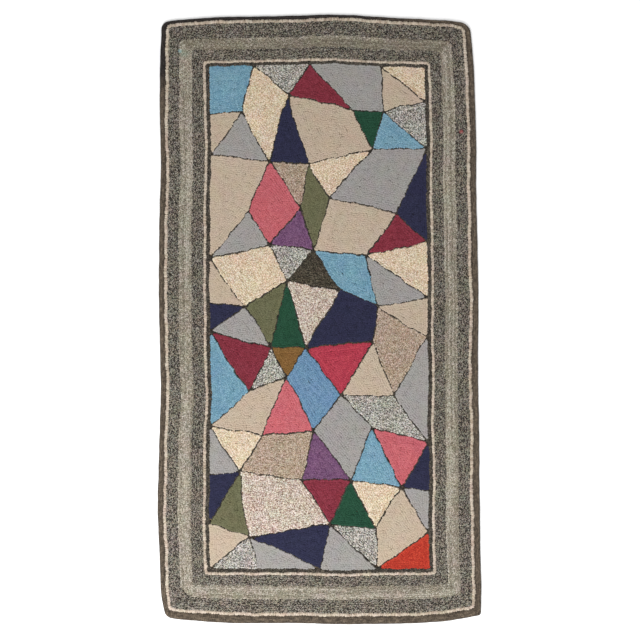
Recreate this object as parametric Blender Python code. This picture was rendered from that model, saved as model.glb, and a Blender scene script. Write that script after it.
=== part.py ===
"""A hooked rug: a hessian foundation with a dense loop pile, its edge bound with woven tape.

The rug lies flat on the ground plane with its pile up, its length along Y and its width along X,
and its origin under its centre. It is modelled as two pieces. The rug itself is one slab, thick
where it is hooked and thin at its turned hem, and the tape is folded round that hem. Each piece is
lofted through rings that run right round the rug, because no two of its sides are alike.
"""

import math
from collections import namedtuple

import bmesh
import bpy

MM = 0.001

# Driving sizes, in metres.
WIDTH = 864 * MM
LENGTH = 1628 * MM
PILE_TOP = 8.8 * MM
PILE_UNEVEN = 0.5 * MM
BAND_DIP = 0.7 * MM
HEM_THICKNESS = 2.2 * MM
TAPE_THICKNESS = 1.2 * MM
TAPE_UNDER = 22 * MM
GAP = 0.3 * MM

# Heights that follow from them.
HEM_BOTTOM = TAPE_THICKNESS + GAP
HEM_TOP = HEM_BOTTOM + HEM_THICKNESS
TAPE_TOP = HEM_TOP + GAP + TAPE_THICKNESS

# How far the sides lie inside the rug's box: "down" is measured from the box's top edge.
SideRow = namedtuple("SideRow", "down left_in right_in")
SIDE_ROWS = [
    SideRow(0.000, 0.011, 0.030),
    SideRow(0.067, 0.008, 0.024),
    SideRow(0.147, 0.005, 0.019),
    SideRow(0.227, 0.005, 0.016),
    SideRow(0.347, 0.008, 0.013),
    SideRow(0.508, 0.005, 0.013),
    SideRow(0.668, 0.003, 0.008),
    SideRow(0.788, 0.003, 0.008),
    SideRow(0.989, 0.008, 0.008),
    SideRow(1.109, 0.005, 0.006),
    SideRow(1.310, 0.000, 0.004),
    SideRow(1.430, 0.003, 0.003),
    SideRow(1.510, 0.006, 0.000),
    SideRow(1.577, 0.011, 0.000),
    SideRow(1.628, 0.022, 0.002),
]

# How far the ends lie inside the box: "across" is measured from the box's left side.
EndRow = namedtuple("EndRow", "across top_in bottom_in")
END_ROWS = [
    EndRow(0.000, 0.020, 0.018),
    EndRow(0.033, 0.015, 0.013),
    EndRow(0.087, 0.011, 0.008),
    EndRow(0.167, 0.006, 0.003),
    EndRow(0.274, 0.005, 0.003),
    EndRow(0.381, 0.002, 0.002),
    EndRow(0.461, 0.000, 0.000),
    EndRow(0.541, 0.002, 0.000),
    EndRow(0.648, 0.008, 0.002),
    EndRow(0.755, 0.013, 0.007),
    EndRow(0.809, 0.016, 0.014),
    EndRow(0.864, 0.023, 0.025),
]

# How round each corner is.
Corners = namedtuple("Corners", "top_right top_left bottom_left bottom_right")
CORNER_RADII = Corners(0.026, 0.016, 0.014, 0.005)
LEAST_RADIUS = 3 * MM

# A distance in from each edge: here, how wide the tape shows from above.
Inset = namedtuple("Inset", "left right top bottom")
TAPE_SHOWS = Inset(0.0134, 0.0147, 0.0100, 0.0187)

# The hooked bands of the border, from the tape inwards, and how wide each is on each side.
Band = namedtuple("Band", "name left right top bottom")
BANDS = [
    Band("tan_line", 0.008, 0.008, 0.008, 0.008),
    Band("dark_tweed", 0.029, 0.029, 0.037, 0.037),
    Band("pale_band", 0.035, 0.036, 0.029, 0.035),
    Band("inner_tweed", 0.032, 0.029, 0.030, 0.028),
    Band("inner_tan_line", 0.008, 0.008, 0.008, 0.008),
    Band("field_outline", 0.008, 0.010, 0.008, 0.011),
]

# How far in from the last band the rings over the plain field lie, and points along each ring.
FIELD_RINGS = [0.030, 0.075, 0.125, 0.180, 0.240]
CORNER_STEPS = 5
END_STEPS = 18
SIDE_STEPS = 34

# One ring of a piece's section: how far in it lies from each edge, and its height.
Ring = namedtuple("Ring", "inset height")


def clear_scene():
    """Start from an empty scene."""
    for obj in list(bpy.data.objects):
        bpy.data.objects.remove(obj, do_unlink=True)


def named_collection(name):
    """A new collection in the scene."""
    collection = bpy.data.collections.new(name)
    bpy.context.scene.collection.children.link(collection)
    return collection


def fabric(name, colour, roughness):
    """A matt cloth material of one colour."""
    material = bpy.data.materials.new(name)
    material.use_nodes = True
    shader = material.node_tree.nodes["Principled BSDF"]
    shader.inputs["Base Color"].default_value = (*colour, 1.0)
    shader.inputs["Roughness"].default_value = roughness
    shader.inputs["Metallic"].default_value = 0.0
    return material


def edge_inset(distance):
    """The same distance in from all four edges."""
    return Inset(distance, distance, distance, distance)


def tape_inset(distance):
    """A distance in from the edge of the tape that shows."""
    return Inset(*[shows + distance for shows in TAPE_SHOWS])


def smooth_column(rows, column, at):
    """Read a table's column at a place along its first column, on a smooth curve through the rows."""
    places = [row[0] for row in rows]
    values = [getattr(row, column) for row in rows]
    last = len(rows) - 1
    at = min(max(at, places[0]), places[last])
    low = max(i for i in range(last) if i == 0 or places[i] <= at)

    def slope(i):
        before = max(i - 1, 0)
        after = min(i + 1, last)
        return (values[after] - values[before]) / (places[after] - places[before])

    span = places[low + 1] - places[low]
    t = (at - places[low]) / span
    rise = t * t * (3 - 2 * t)
    lean_out = t * (1 - t) ** 2 * span * slope(low)
    lean_in = t * t * (1 - t) * span * slope(low + 1)
    return values[low] + rise * (values[low + 1] - values[low]) + lean_out - lean_in


def follow_outline(x, y):
    """Move a point of the plain rectangle to its place on the rug, whose edges bow and wander."""
    down = LENGTH / 2 - y
    across = x + WIDTH / 2
    left = -WIDTH / 2 + smooth_column(SIDE_ROWS, "left_in", down)
    right = WIDTH / 2 - smooth_column(SIDE_ROWS, "right_in", down)
    bottom = -LENGTH / 2 + smooth_column(END_ROWS, "bottom_in", across)
    top = LENGTH / 2 - smooth_column(END_ROWS, "top_in", across)
    return (
        left + (right - left) * across / WIDTH,
        top - (top - bottom) * down / LENGTH,
    )


def corner_arc(x, y, outer_radius, depth, turn):
    """Points round one corner, from the angle turn on; a corner further in is tighter."""
    radius = max(outer_radius - depth, LEAST_RADIUS)
    centre_x = x - math.copysign(radius, x)
    centre_y = y - math.copysign(radius, y)
    arc = []
    for i in range(CORNER_STEPS):
        angle = turn + math.radians(90) * i / (CORNER_STEPS - 1)
        arc.append((centre_x + radius * math.cos(angle), centre_y + radius * math.sin(angle)))
    return arc


def plain_ring(inset):
    """Places round a rectangle with round corners, anticlockwise from the top right corner."""
    right = WIDTH / 2 - inset.right
    left = -WIDTH / 2 + inset.left
    top = LENGTH / 2 - inset.top
    bottom = -LENGTH / 2 + inset.bottom
    radii = CORNER_RADII
    arcs = [
        corner_arc(right, top, radii.top_right, inset.right, 0),
        corner_arc(left, top, radii.top_left, inset.left, math.radians(90)),
        corner_arc(left, bottom, radii.bottom_left, inset.left, math.radians(180)),
        corner_arc(right, bottom, radii.bottom_right, inset.right, math.radians(270)),
    ]
    ring = []
    for i, steps in enumerate([SIDE_STEPS, END_STEPS, SIDE_STEPS, END_STEPS]):
        start_x, start_y = arcs[i - 1][-1]
        end_x, end_y = arcs[i][0]
        for k in range(1, steps):
            part = k / steps
            ring.append((start_x + (end_x - start_x) * part, start_y + (end_y - start_y) * part))
        ring.extend(arcs[i])
    return ring


def settled(x, y):
    """How far the pile has settled here, from 0 to 1."""
    long_wave = math.sin(9.0 * x + 1.0) * math.cos(6.5 * y - 0.4)
    short_wave = math.sin(23.0 * x - 17.0 * y) * math.cos(14.0 * x + 21.0 * y)
    return 0.5 + 0.3 * long_wave + 0.2 * short_wave


def add_ring(mesh, ring):
    """Add one ring's vertices to the mesh; what stands above the hem is as uneven as the pile."""
    pile_share = max(0.0, (ring.height - TAPE_TOP) / (PILE_TOP - TAPE_TOP))
    verts = []
    for plain_x, plain_y in plain_ring(ring.inset):
        x, y = follow_outline(plain_x, plain_y)
        z = ring.height - PILE_UNEVEN * pile_share * settled(x, y)
        verts.append(mesh.verts.new((x, y, z)))
    return verts


def join_rings(mesh, first, second):
    """Add the faces between two rings that have the same number of points."""
    count = len(first)
    for i in range(count):
        j = (i + 1) % count
        mesh.faces.new((first[i], second[i], second[j], first[j]))


def mesh_object(mesh, name, material, collection):
    """Make an object of a finished bmesh, with its faces pointing out."""
    bmesh.ops.recalc_face_normals(mesh, faces=mesh.faces)
    data = bpy.data.meshes.new(name)
    mesh.to_mesh(data)
    mesh.free()
    data.materials.append(material)
    data.shade_smooth()
    data.set_sharp_from_angle(angle=math.radians(40))
    obj = bpy.data.objects.new(name, data)
    collection.objects.link(obj)
    return obj


def hem_rings():
    """The underside, then the hem: up from the flat, out over the tape, and back on top."""
    hem_edge = TAPE_THICKNESS + GAP
    easing = 0.5 * MM
    return [
        Ring(edge_inset(TAPE_UNDER + 2 * MM), 0.0),
        Ring(edge_inset(TAPE_UNDER + GAP), HEM_BOTTOM),
        Ring(edge_inset(hem_edge + easing), HEM_BOTTOM),
        Ring(edge_inset(hem_edge), HEM_BOTTOM + HEM_THICKNESS / 2),
        Ring(edge_inset(hem_edge + easing), HEM_TOP),
        Ring(tape_inset(GAP + easing), HEM_TOP),
    ]


def pile_rings():
    """The pile: its outer wall, then each band's crown and the dip before the next band."""
    rings = [Ring(tape_inset(GAP), 0.72 * PILE_TOP)]
    shoulder = 3 * MM
    reach = tape_inset(0.0)
    for band in BANDS:
        inner = Inset(*[side + width for side, width in zip(reach, band[1:])])
        if min(band[1:]) > 4 * shoulder:
            rings.append(Ring(Inset(*[side + shoulder for side in reach]), PILE_TOP))
            rings.append(Ring(Inset(*[side - shoulder for side in inner]), PILE_TOP))
        else:
            middle = [(a + b) / 2 for a, b in zip(reach, inner)]
            rings.append(Ring(Inset(*middle), PILE_TOP))
        rings.append(Ring(inner, PILE_TOP - BAND_DIP))
        reach = inner
    for distance in [shoulder] + FIELD_RINGS:
        rings.append(Ring(Inset(*[side + distance for side in reach]), PILE_TOP))
    return rings


def make_hooked_rug(collection):
    """The foundation with its turned hem and its pile, as one slab that is flat underneath."""
    mesh = bmesh.new()
    rings = [add_ring(mesh, ring) for ring in hem_rings() + pile_rings()]
    for first, second in zip(rings, rings[1:]):
        join_rings(mesh, first, second)
    underside = mesh.faces.new(rings[0])
    middle = mesh.faces.new(rings[-1])
    bmesh.ops.triangulate(mesh, faces=[underside, middle])
    wool = fabric("hooked_wool", (0.42, 0.38, 0.33), 0.95)
    return mesh_object(mesh, "hooked_rug", wool, collection)


def tape_rings():
    """The tape's section, from the inner edge of its underside out round its nose and back."""
    nose = 1.3 * MM
    easing = 0.3 * MM
    hem_middle = HEM_BOTTOM + HEM_THICKNESS / 2
    under_hem = edge_inset(TAPE_THICKNESS + 2 * easing)
    return [
        Ring(edge_inset(TAPE_UNDER), 0.0),
        Ring(edge_inset(nose), 0.0),
        Ring(edge_inset(easing), 0.25 * TAPE_TOP),
        Ring(edge_inset(0.0), 0.50 * TAPE_TOP),
        Ring(edge_inset(easing), 0.78 * TAPE_TOP),
        Ring(edge_inset(nose), TAPE_TOP),
        Ring(tape_inset(-2 * easing), TAPE_TOP),
        Ring(tape_inset(0.0), TAPE_TOP - TAPE_THICKNESS / 2),
        Ring(tape_inset(-easing), HEM_TOP + GAP),
        Ring(under_hem, HEM_TOP + GAP),
        Ring(edge_inset(TAPE_THICKNESS), hem_middle),
        Ring(under_hem, TAPE_THICKNESS),
        Ring(edge_inset(TAPE_UNDER), TAPE_THICKNESS),
    ]


def make_edge_binding(collection):
    """The tape, folded over the hem all the way round, its ends sewn into one."""
    mesh = bmesh.new()
    rings = [add_ring(mesh, ring) for ring in tape_rings()]
    for first, second in zip(rings, rings[1:] + rings[:1]):
        join_rings(mesh, first, second)
    tape = fabric("binding_tape", (0.075, 0.065, 0.055), 0.9)
    return mesh_object(mesh, "edge_binding", tape, collection)


def main():
    """Build the rug and its binding."""
    clear_scene()
    rug = named_collection("rug")
    make_hooked_rug(rug)
    make_edge_binding(rug)


main()
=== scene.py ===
# %% [markdown]
# # A hooked rug
#
# A hooked rug is made by pulling loops of wool up through a hessian cloth with a small hook. Each
# patch of colour is one yarn, worked in rows, and the loops stand so close that they hide the
# cloth. This lesson dresses a plain solid of such a rug: the cloth, the tape that binds its edge
# and more than fifty thousand loops, each of them a real small mesh.
#
# The solid is loaded first, because everything that follows has to sit where it says.

import math
from collections import namedtuple

import bmesh
import bpy
import numpy as np
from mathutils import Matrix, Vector
from mathutils.geometry import delaunay_2d_cdt


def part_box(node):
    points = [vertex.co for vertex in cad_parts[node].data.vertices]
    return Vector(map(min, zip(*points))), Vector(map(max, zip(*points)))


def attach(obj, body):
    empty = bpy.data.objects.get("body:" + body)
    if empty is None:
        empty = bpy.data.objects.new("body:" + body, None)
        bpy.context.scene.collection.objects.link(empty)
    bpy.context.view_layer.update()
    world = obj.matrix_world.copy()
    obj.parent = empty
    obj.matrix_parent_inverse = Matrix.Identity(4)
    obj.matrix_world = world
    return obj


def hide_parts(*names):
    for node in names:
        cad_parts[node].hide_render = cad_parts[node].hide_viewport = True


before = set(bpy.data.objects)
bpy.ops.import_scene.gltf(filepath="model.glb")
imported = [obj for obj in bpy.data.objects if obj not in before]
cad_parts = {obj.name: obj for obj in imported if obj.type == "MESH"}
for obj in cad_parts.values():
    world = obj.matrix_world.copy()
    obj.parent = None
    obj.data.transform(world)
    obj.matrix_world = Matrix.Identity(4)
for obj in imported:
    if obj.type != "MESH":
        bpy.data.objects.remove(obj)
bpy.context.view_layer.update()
MM = 0.001
WIDTH = 0.864
LENGTH = 1.628
PILE_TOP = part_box("hooked_rug")[1][2]
TAPE_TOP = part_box("edge_binding")[1][2]
print("pile top", round(PILE_TOP / MM, 2), "mm, tape top", round(TAPE_TOP / MM, 2), "mm")

# %% [markdown]
# ## Camera, floor and light
#
# The rug is seen from straight above, so the camera hangs over its middle and looks down. A long
# lens keeps the sides of the pile from showing. The picture is 640 pixels of 2.673 mm wide, which
# gives the camera its height.
#
# A photographer lights a rug evenly: here a bright sky on all sides, and one wide soft box over
# the near end, so that the loops have a soft shaded side and the far end is a little darker. The
# floor is plain white.

# %% Place the camera and the lights
PIXEL = 2.673 * MM
LENS = 85.0
SENSOR = 36.0
CAMERA_HEIGHT = 640 * PIXEL * LENS / SENSOR
RUG_MIDDLE = (0.5 * PIXEL, -0.5 * PIXEL)
SKY = 0.80
SOFT_BOX_AT = Vector((-0.8, -1.95, 1.95))
SOFT_BOX_AIM = Vector((0.0, -0.25, 0.0))
SOFT_BOX_SIZE = 1.4
SOFT_BOX_WATTS = 66.0
FLOOR_SIZE = 40.0
FLOOR_GAP = 0.2 * MM

scene = bpy.context.scene
scene.view_settings.view_transform = "Standard"


def add_object(name, data):
    """A new object in the scene."""
    thing = bpy.data.objects.new(name, data)
    scene.collection.objects.link(thing)
    return thing


def linear(hex_colour):
    """An sRGB hex colour as linear red, green, blue and alpha."""
    channels = [int(hex_colour[i : i + 2], 16) / 255 for i in (1, 3, 5)]
    return [c / 12.92 if c <= 0.04045 else ((c + 0.055) / 1.055) ** 2.4 for c in channels] + [1.0]


lens = bpy.data.cameras.new("camera")
lens.lens = LENS
lens.sensor_width = SENSOR
scene.camera = add_object("camera", lens)
scene.camera.location = (*RUG_MIDDLE, CAMERA_HEIGHT)

lamp = bpy.data.lights.new("soft_box", "AREA")
lamp.size = SOFT_BOX_SIZE
lamp.energy = SOFT_BOX_WATTS
soft_box = add_object("soft_box", lamp)
soft_box.location = SOFT_BOX_AT
soft_box.rotation_euler = (SOFT_BOX_AIM - SOFT_BOX_AT).to_track_quat("-Z", "Y").to_euler()

scene.world = bpy.data.worlds.new("studio")
scene.world.use_nodes = True
sky = scene.world.node_tree.nodes["Background"]
sky.inputs["Color"].default_value = linear("#ffffff")
sky.inputs["Strength"].default_value = SKY

bpy.ops.mesh.primitive_plane_add(size=FLOOR_SIZE, location=(0.0, 0.0, -FLOOR_GAP))
floor = bpy.context.object
floor.name = "floor"
paint = bpy.data.materials.new("white_studio_floor")
paint.use_nodes = True
paint.node_tree.nodes["Principled BSDF"].inputs["Base Color"].default_value = linear("#ffffff")
paint.node_tree.nodes["Principled BSDF"].inputs["Roughness"].default_value = 0.9
floor.data.materials.append(paint)
print("camera", round(CAMERA_HEIGHT, 3), "m above the rug")

# %% [markdown]
# ## The rug's outline
#
# No two edges of a rug made by hand are alike. Everything is laid out on a plain rectangle first,
# and one function then moves each point to where it lies on the real, uneven rug. Two short
# tables say how far the sides and the ends lie inside the rug's box, in metres. The same tables
# shaped the solid, so the loops follow its edge.

# %% Tables of the outline
SideRow = namedtuple("SideRow", "down left_in right_in")
SIDE_ROWS = [
    SideRow(0.000, 0.011, 0.030),
    SideRow(0.067, 0.008, 0.024),
    SideRow(0.147, 0.005, 0.019),
    SideRow(0.227, 0.005, 0.016),
    SideRow(0.347, 0.008, 0.013),
    SideRow(0.508, 0.005, 0.013),
    SideRow(0.668, 0.003, 0.008),
    SideRow(0.788, 0.003, 0.008),
    SideRow(0.989, 0.008, 0.008),
    SideRow(1.109, 0.005, 0.006),
    SideRow(1.310, 0.000, 0.004),
    SideRow(1.430, 0.003, 0.003),
    SideRow(1.510, 0.006, 0.000),
    SideRow(1.577, 0.011, 0.000),
    SideRow(1.628, 0.022, 0.002),
]
EndRow = namedtuple("EndRow", "across top_in bottom_in")
END_ROWS = [
    EndRow(0.000, 0.020, 0.018),
    EndRow(0.033, 0.015, 0.013),
    EndRow(0.087, 0.011, 0.008),
    EndRow(0.167, 0.006, 0.003),
    EndRow(0.274, 0.005, 0.003),
    EndRow(0.381, 0.002, 0.002),
    EndRow(0.461, 0.000, 0.000),
    EndRow(0.541, 0.002, 0.000),
    EndRow(0.648, 0.008, 0.002),
    EndRow(0.755, 0.013, 0.007),
    EndRow(0.809, 0.016, 0.014),
    EndRow(0.864, 0.023, 0.025),
]
print(len(SIDE_ROWS), "rows for the long sides and", len(END_ROWS), "for the ends")


# %% Follow the outline
def smooth_column(rows, column, at):
    """Read a table's column at many places, on a smooth curve through its rows."""
    places = np.array([row[0] for row in rows])
    values = np.array([getattr(row, column) for row in rows])
    last = len(rows) - 1
    at = np.clip(at, places[0], places[last])
    after = np.minimum(np.arange(last + 1) + 1, last)
    before = np.maximum(np.arange(last + 1) - 1, 0)
    slopes = (values[after] - values[before]) / (places[after] - places[before])
    low = np.clip(np.searchsorted(places, at, side="right") - 1, 0, last - 1)
    span = places[low + 1] - places[low]
    t = (at - places[low]) / span
    rise = t * t * (3 - 2 * t)
    lean_out = t * (1 - t) ** 2 * span * slopes[low]
    lean_in = t * t * (1 - t) * span * slopes[low + 1]
    return values[low] + rise * (values[low + 1] - values[low]) + lean_out - lean_in


def follow_outline(places):
    """Move places on the plain rectangle to where they lie on the uneven rug."""
    down = LENGTH / 2 - places[:, 1]
    across = places[:, 0] + WIDTH / 2
    left = -WIDTH / 2 + smooth_column(SIDE_ROWS, "left_in", down)
    right = WIDTH / 2 - smooth_column(SIDE_ROWS, "right_in", down)
    bottom = -LENGTH / 2 + smooth_column(END_ROWS, "bottom_in", across)
    top = LENGTH / 2 - smooth_column(END_ROWS, "top_in", across)
    x = left + (right - left) * across / WIDTH
    y = top - (top - bottom) * down / LENGTH
    return np.stack([x, y], axis=1)


corner = follow_outline(np.array([[-WIDTH / 2, LENGTH / 2]]))[0]
print("the top left corner lies at", np.round(corner / MM), "mm")

# %% [markdown]
# Rows that are worked by eye also wander a little, and more freely in the field than in the
# border. A sum of slow waves in many directions does that for every row at once, so neighbours
# never part.

# %% How the rows wander
Stray = namedtuple("Stray", "reach wave")
STRAYS = [
    Stray(2.2 * MM, 210 * MM),
    Stray(1.2 * MM, 64 * MM),
    Stray(1.0 * MM, 23 * MM),
]
GOLDEN_ANGLE = math.radians(137.5)
WAVES = 3
FIELD_FROM = 0.135
FREE_FROM = 0.185
FREER = 1.0


def pointing(angle):
    """The unit vector at an angle from the x axis, or one for each of many angles."""
    return np.stack([np.cos(angle), np.sin(angle)], axis=-1)


def strayed(places, share=1.0):
    """Places moved by a share of the hand's slow wander."""
    moved = places.copy()
    inward = np.min([WIDTH, LENGTH] / np.array(2.0) - np.abs(places), axis=1)
    share = share * (1 + FREER * np.clip((inward - FIELD_FROM) / (FREE_FROM - FIELD_FROM), 0, 1))
    for axis in (0, 1):
        for number, stray in enumerate(STRAYS):
            for i in range(WAVES):
                angle = GOLDEN_ANGLE * (i + 1 + WAVES * (number + 4 * axis))
                wave = np.sin(2 * math.pi * places @ pointing(angle) / stray.wave + 7 * angle)
                moved[:, axis] += share * stray.reach / WAVES * wave
    return moved


def laid(places, share=1.0):
    """Where places on the plain rectangle come to lie."""
    return follow_outline(strayed(places, share))


side = np.linspace([WIDTH / 2, -LENGTH / 2], [WIDTH / 2, LENGTH / 2])
print("a long row strays by up to", round(np.abs(strayed(side) - side).max() / MM, 1), "mm")

# %% [markdown]
# ## The border
#
# The border is worked in rows that run right round the rug: one light row against the tape, a
# wide dark tweed band, a wide pale band, a second dark tweed band, a light row again, and a
# narrow dark frame round the field. A table says how many rows each band takes, how dark its yarn
# is at the far end, and how wide it is on each side. A second table says how its corners are
# rounded: the maker cut one corner of the pale band much rounder than the rest.

# %% Bands of the border
LOOP_PITCH = 4.7 * MM
ROW_PITCH = 4.9 * MM
Inset = namedtuple("Inset", "left right top bottom")
Corners = namedtuple("Corners", "top_right top_left bottom_left bottom_right")
TAPE_SHOWS = Inset(0.0164, 0.0174, 0.0105, 0.0227)
TAPE_CORNERS = Corners(0.026, 0.016, 0.014, 0.005)

Band = namedtuple("Band", "name yarn rows far_tone left right top bottom")
BANDS = [
    Band("outer_light_row", "light_tan", 1, 0.3, 0.007, 0.008, 0.008, 0.008),
    Band("outer_tweed", "dark_tweed", 6, 0.5, 0.030, 0.031, 0.0385, 0.0355),
    Band("pale_band", "pale_grey", 7, -0.10, 0.035, 0.034, 0.0295, 0.035),
    Band("inner_tweed", "dark_tweed", 6, 0.5, 0.032, 0.029, 0.0295, 0.0275),
    Band("inner_light_row", "light_tan", 1, 0.2, 0.008, 0.008, 0.008, 0.008),
    Band("field_frame", "frame_brown", 2, 0.5, 0.010, 0.010, 0.008, 0.010),
]
BAND_CORNERS = {
    "outer_light_row": Corners(0.012, 0.003, 0.006, 0.005),
    "outer_tweed": Corners(0.004, 0.004, 0.004, 0.004),
    "pale_band": Corners(0.013, 0.011, 0.040, 0.012),
    "inner_tweed": Corners(0.006, 0.008, 0.010, 0.006),
    "inner_light_row": Corners(0.008, 0.002, 0.003, 0.006),
    "field_frame": Corners(0.003, 0.003, 0.003, 0.003),
}
ROW_CORNER = 4 * MM
print(sum(band.rows for band in BANDS), "rows of loops in", len(BANDS), "bands")


# %% Where each band starts
def deeper(inset, widths, share=1.0):
    """An inset moved further in by a share of each side's width."""
    return Inset(*[side + share * width for side, width in zip(inset, widths)])


def side_widths(band):
    """How wide a band is on each side."""
    return Inset(band.left, band.right, band.top, band.bottom)


def corners_of(inset):
    """The corners of the plain rectangle at an inset, anticlockwise from the top right."""
    left = -WIDTH / 2 + inset.left
    right = WIDTH / 2 - inset.right
    bottom = -LENGTH / 2 + inset.bottom
    top = LENGTH / 2 - inset.top
    return np.array([(right, top), (left, top), (left, bottom), (right, bottom)])


insets = [TAPE_SHOWS]
for band in BANDS:
    insets.append(deeper(insets[-1], side_widths(band)))
FIELD_LOW = corners_of(insets[-1])[2]
FIELD_HIGH = corners_of(insets[-1])[0]
print("field", np.round((FIELD_HIGH - FIELD_LOW) / MM), "mm")


# %% Paths round the rug
def rounded_path(inset, radii, arc_steps=8):
    """A closed path at an inset, with each corner rounded by its own radius."""
    path = []
    for i, (corner, radius) in enumerate(zip(corners_of(inset), radii)):
        centre = corner - radius * np.sign(corner)
        angles = math.radians(90) * (i + np.arange(arc_steps + 1) / arc_steps)
        path.extend(centre + radius * pointing(angles))
    return np.array(path)


def inside(places, inset, radii):
    """Whether each place lies inside the round-cornered rectangle at an inset."""
    corners = corners_of(inset)
    middle = (corners[0] + corners[2]) / 2
    half = (corners[0] - corners[2]) / 2
    right, top = (places > middle).T
    corner = np.where(top, np.where(right, 0, 1), np.where(right, 3, 2))
    radius = np.array(radii)[corner]
    beyond = np.maximum(np.abs(places - middle) - (half - radius[:, None]), 0.0)
    return np.hypot(*beyond.T) <= radius


def angle_of(vectors):
    """The angle of each vector from the x axis."""
    return np.arctan2(vectors[..., 1], vectors[..., 0])


def walk(path, pitch, start=0.0):
    """Places and headings at an even pitch round a closed path."""
    closed = np.vstack([path, path[:1]])
    steps = np.linalg.norm(np.diff(closed, axis=0), axis=1)
    far = np.concatenate([[0.0], np.cumsum(steps)])
    count = max(1, round(far[-1] / pitch))
    at = (np.arange(count) + start) / count * far[-1]
    low = np.clip(np.searchsorted(far, at, side="right") - 1, 0, len(steps) - 1)
    share = (at - far[low]) / np.maximum(steps[low], 1e-9)
    heading = closed[low + 1] - closed[low]
    return closed[low] + heading * share[:, None], angle_of(heading)


inner_edge = rounded_path(TAPE_SHOWS, TAPE_CORNERS)
print("the inner edge of the tape is", len(walk(inner_edge, LOOP_PITCH)[0]), "loops long")

# %% [markdown]
# ## The field of patches
#
# The field is a crazy patchwork, a traditional pattern of straight-sided scraps that meet at hubs
# of five to seven. It could be drawn patch by patch, but a rule gives the same look with a layout
# of its own. Hubs are set out on a loose lattice and shaken, a Delaunay triangulation joins them
# into triangles, and some neighbours are merged into four-sided patches where the result is
# convex. A fixed seed gives the same layout each time.

# %% Set out the hubs
HUB_ROWS = 10
HUBS_EVEN_ROW = 3
HUBS_ODD_ROW = 4
END_HUBS = 3
ROW_MARGIN = 0.9
HUB_MARGIN = 0.85
HUB_SHAKE = np.array([0.036, 0.034])
EDGE_SHAKE = 0.030
LAYOUT_SEED = 11
rng = np.random.default_rng(LAYOUT_SEED)


def spaced(count, margin):
    """Even places along a width of 1, with a margin of so many steps at each end."""
    return (np.arange(count) + margin) / (count - 1 + 2 * margin)


def side_hubs(y):
    """A hub on each long side of the field, shaken along it."""
    height = FIELD_HIGH[1] - FIELD_LOW[1]
    return [(side, y + rng.uniform(-EDGE_SHAKE, EDGE_SHAKE) / height) for side in (0.0, 1.0)]


def set_out_hubs():
    """Hubs at the field's corners, along its edges and on a shaken lattice inside it."""
    size = FIELD_HIGH - FIELD_LOW
    hubs = [(0.0, 0.0), (1.0, 0.0), (1.0, 1.0), (0.0, 1.0)]
    for end in (0.0, 1.0):
        for x in spaced(END_HUBS, 1.0):
            hubs.append((x + rng.uniform(-EDGE_SHAKE, EDGE_SHAKE) / size[0], end))
    rows = spaced(HUB_ROWS, ROW_MARGIN)
    for row, y in enumerate(rows):
        for x in spaced(HUBS_ODD_ROW if row % 2 else HUBS_EVEN_ROW, HUB_MARGIN):
            hubs.append((x, y) + rng.uniform(-HUB_SHAKE, HUB_SHAKE) / size)
        if row % 2 == 0:
            hubs.extend(side_hubs(y))
    for y in rows[1::4]:
        hubs.extend(side_hubs(y))
    return FIELD_LOW + np.array(hubs) * size


hubs = set_out_hubs()
print(len(hubs), "hubs")

# %% Join the hubs into patches
MERGES = 20
WIDEST_ANGLE = math.radians(164)


def sides_of(path):
    """The sides of a closed path, each from its own place to the next."""
    return np.roll(path, -1, axis=0) - path


def corner_angles(corners):
    """The angle inside each corner of a polygon that runs anticlockwise."""
    behind = np.roll(corners, 1, axis=0) - corners
    return np.mod(angle_of(behind) - angle_of(sides_of(corners)), 2 * math.pi)


def merged(first, second):
    """The ring of hubs round two triangles that share a side."""
    lone = next(hub for hub in second if hub not in first)
    shared = next(i for i in range(3) if first[i] in second and first[(i + 1) % 3] in second)
    return first[: shared + 1] + [lone] + first[shared + 1 :]


def join_into_patches(hubs):
    """Triangles between the hubs, some of them merged two by two, as rings of hub numbers."""
    found = delaunay_2d_cdt([tuple(hub) for hub in hubs], [], [], 0, 1e-6)
    triangles = [list(face) for face in found[2]]
    pairs = [(a, b) for a in range(len(triangles)) for b in range(a)]
    pairs = [(a, b) for a, b in pairs if len(set(triangles[a]) & set(triangles[b])) == 2]
    rng.shuffle(pairs)
    taken = set()
    patches = []
    for a, b in pairs:
        if len(patches) == MERGES or a in taken or b in taken:
            continue
        ring = merged(triangles[a], triangles[b])
        if corner_angles(hubs[ring]).max() < WIDEST_ANGLE:
            patches.append(ring)
            taken.update((a, b))
    return patches + [triangle for i, triangle in enumerate(triangles) if i not in taken]


patches = join_into_patches(hubs)
print(len(patches), "patches")

# %% [markdown]
# ## Yarns
#
# Each yarn is three colours, dark to light, as the eye mixes them in the pile. A plain yarn hardly
# varies. A tweed is spun from light and dark wool, so it jumps between them from loop to loop and
# within a loop. "soft" is how gently its colours run into each other, "flecks" how much of the
# change comes from inside a loop, "streaks" how much from one strip of yarn to the next, and
# "patches" how many patches of the field wear it.

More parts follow.
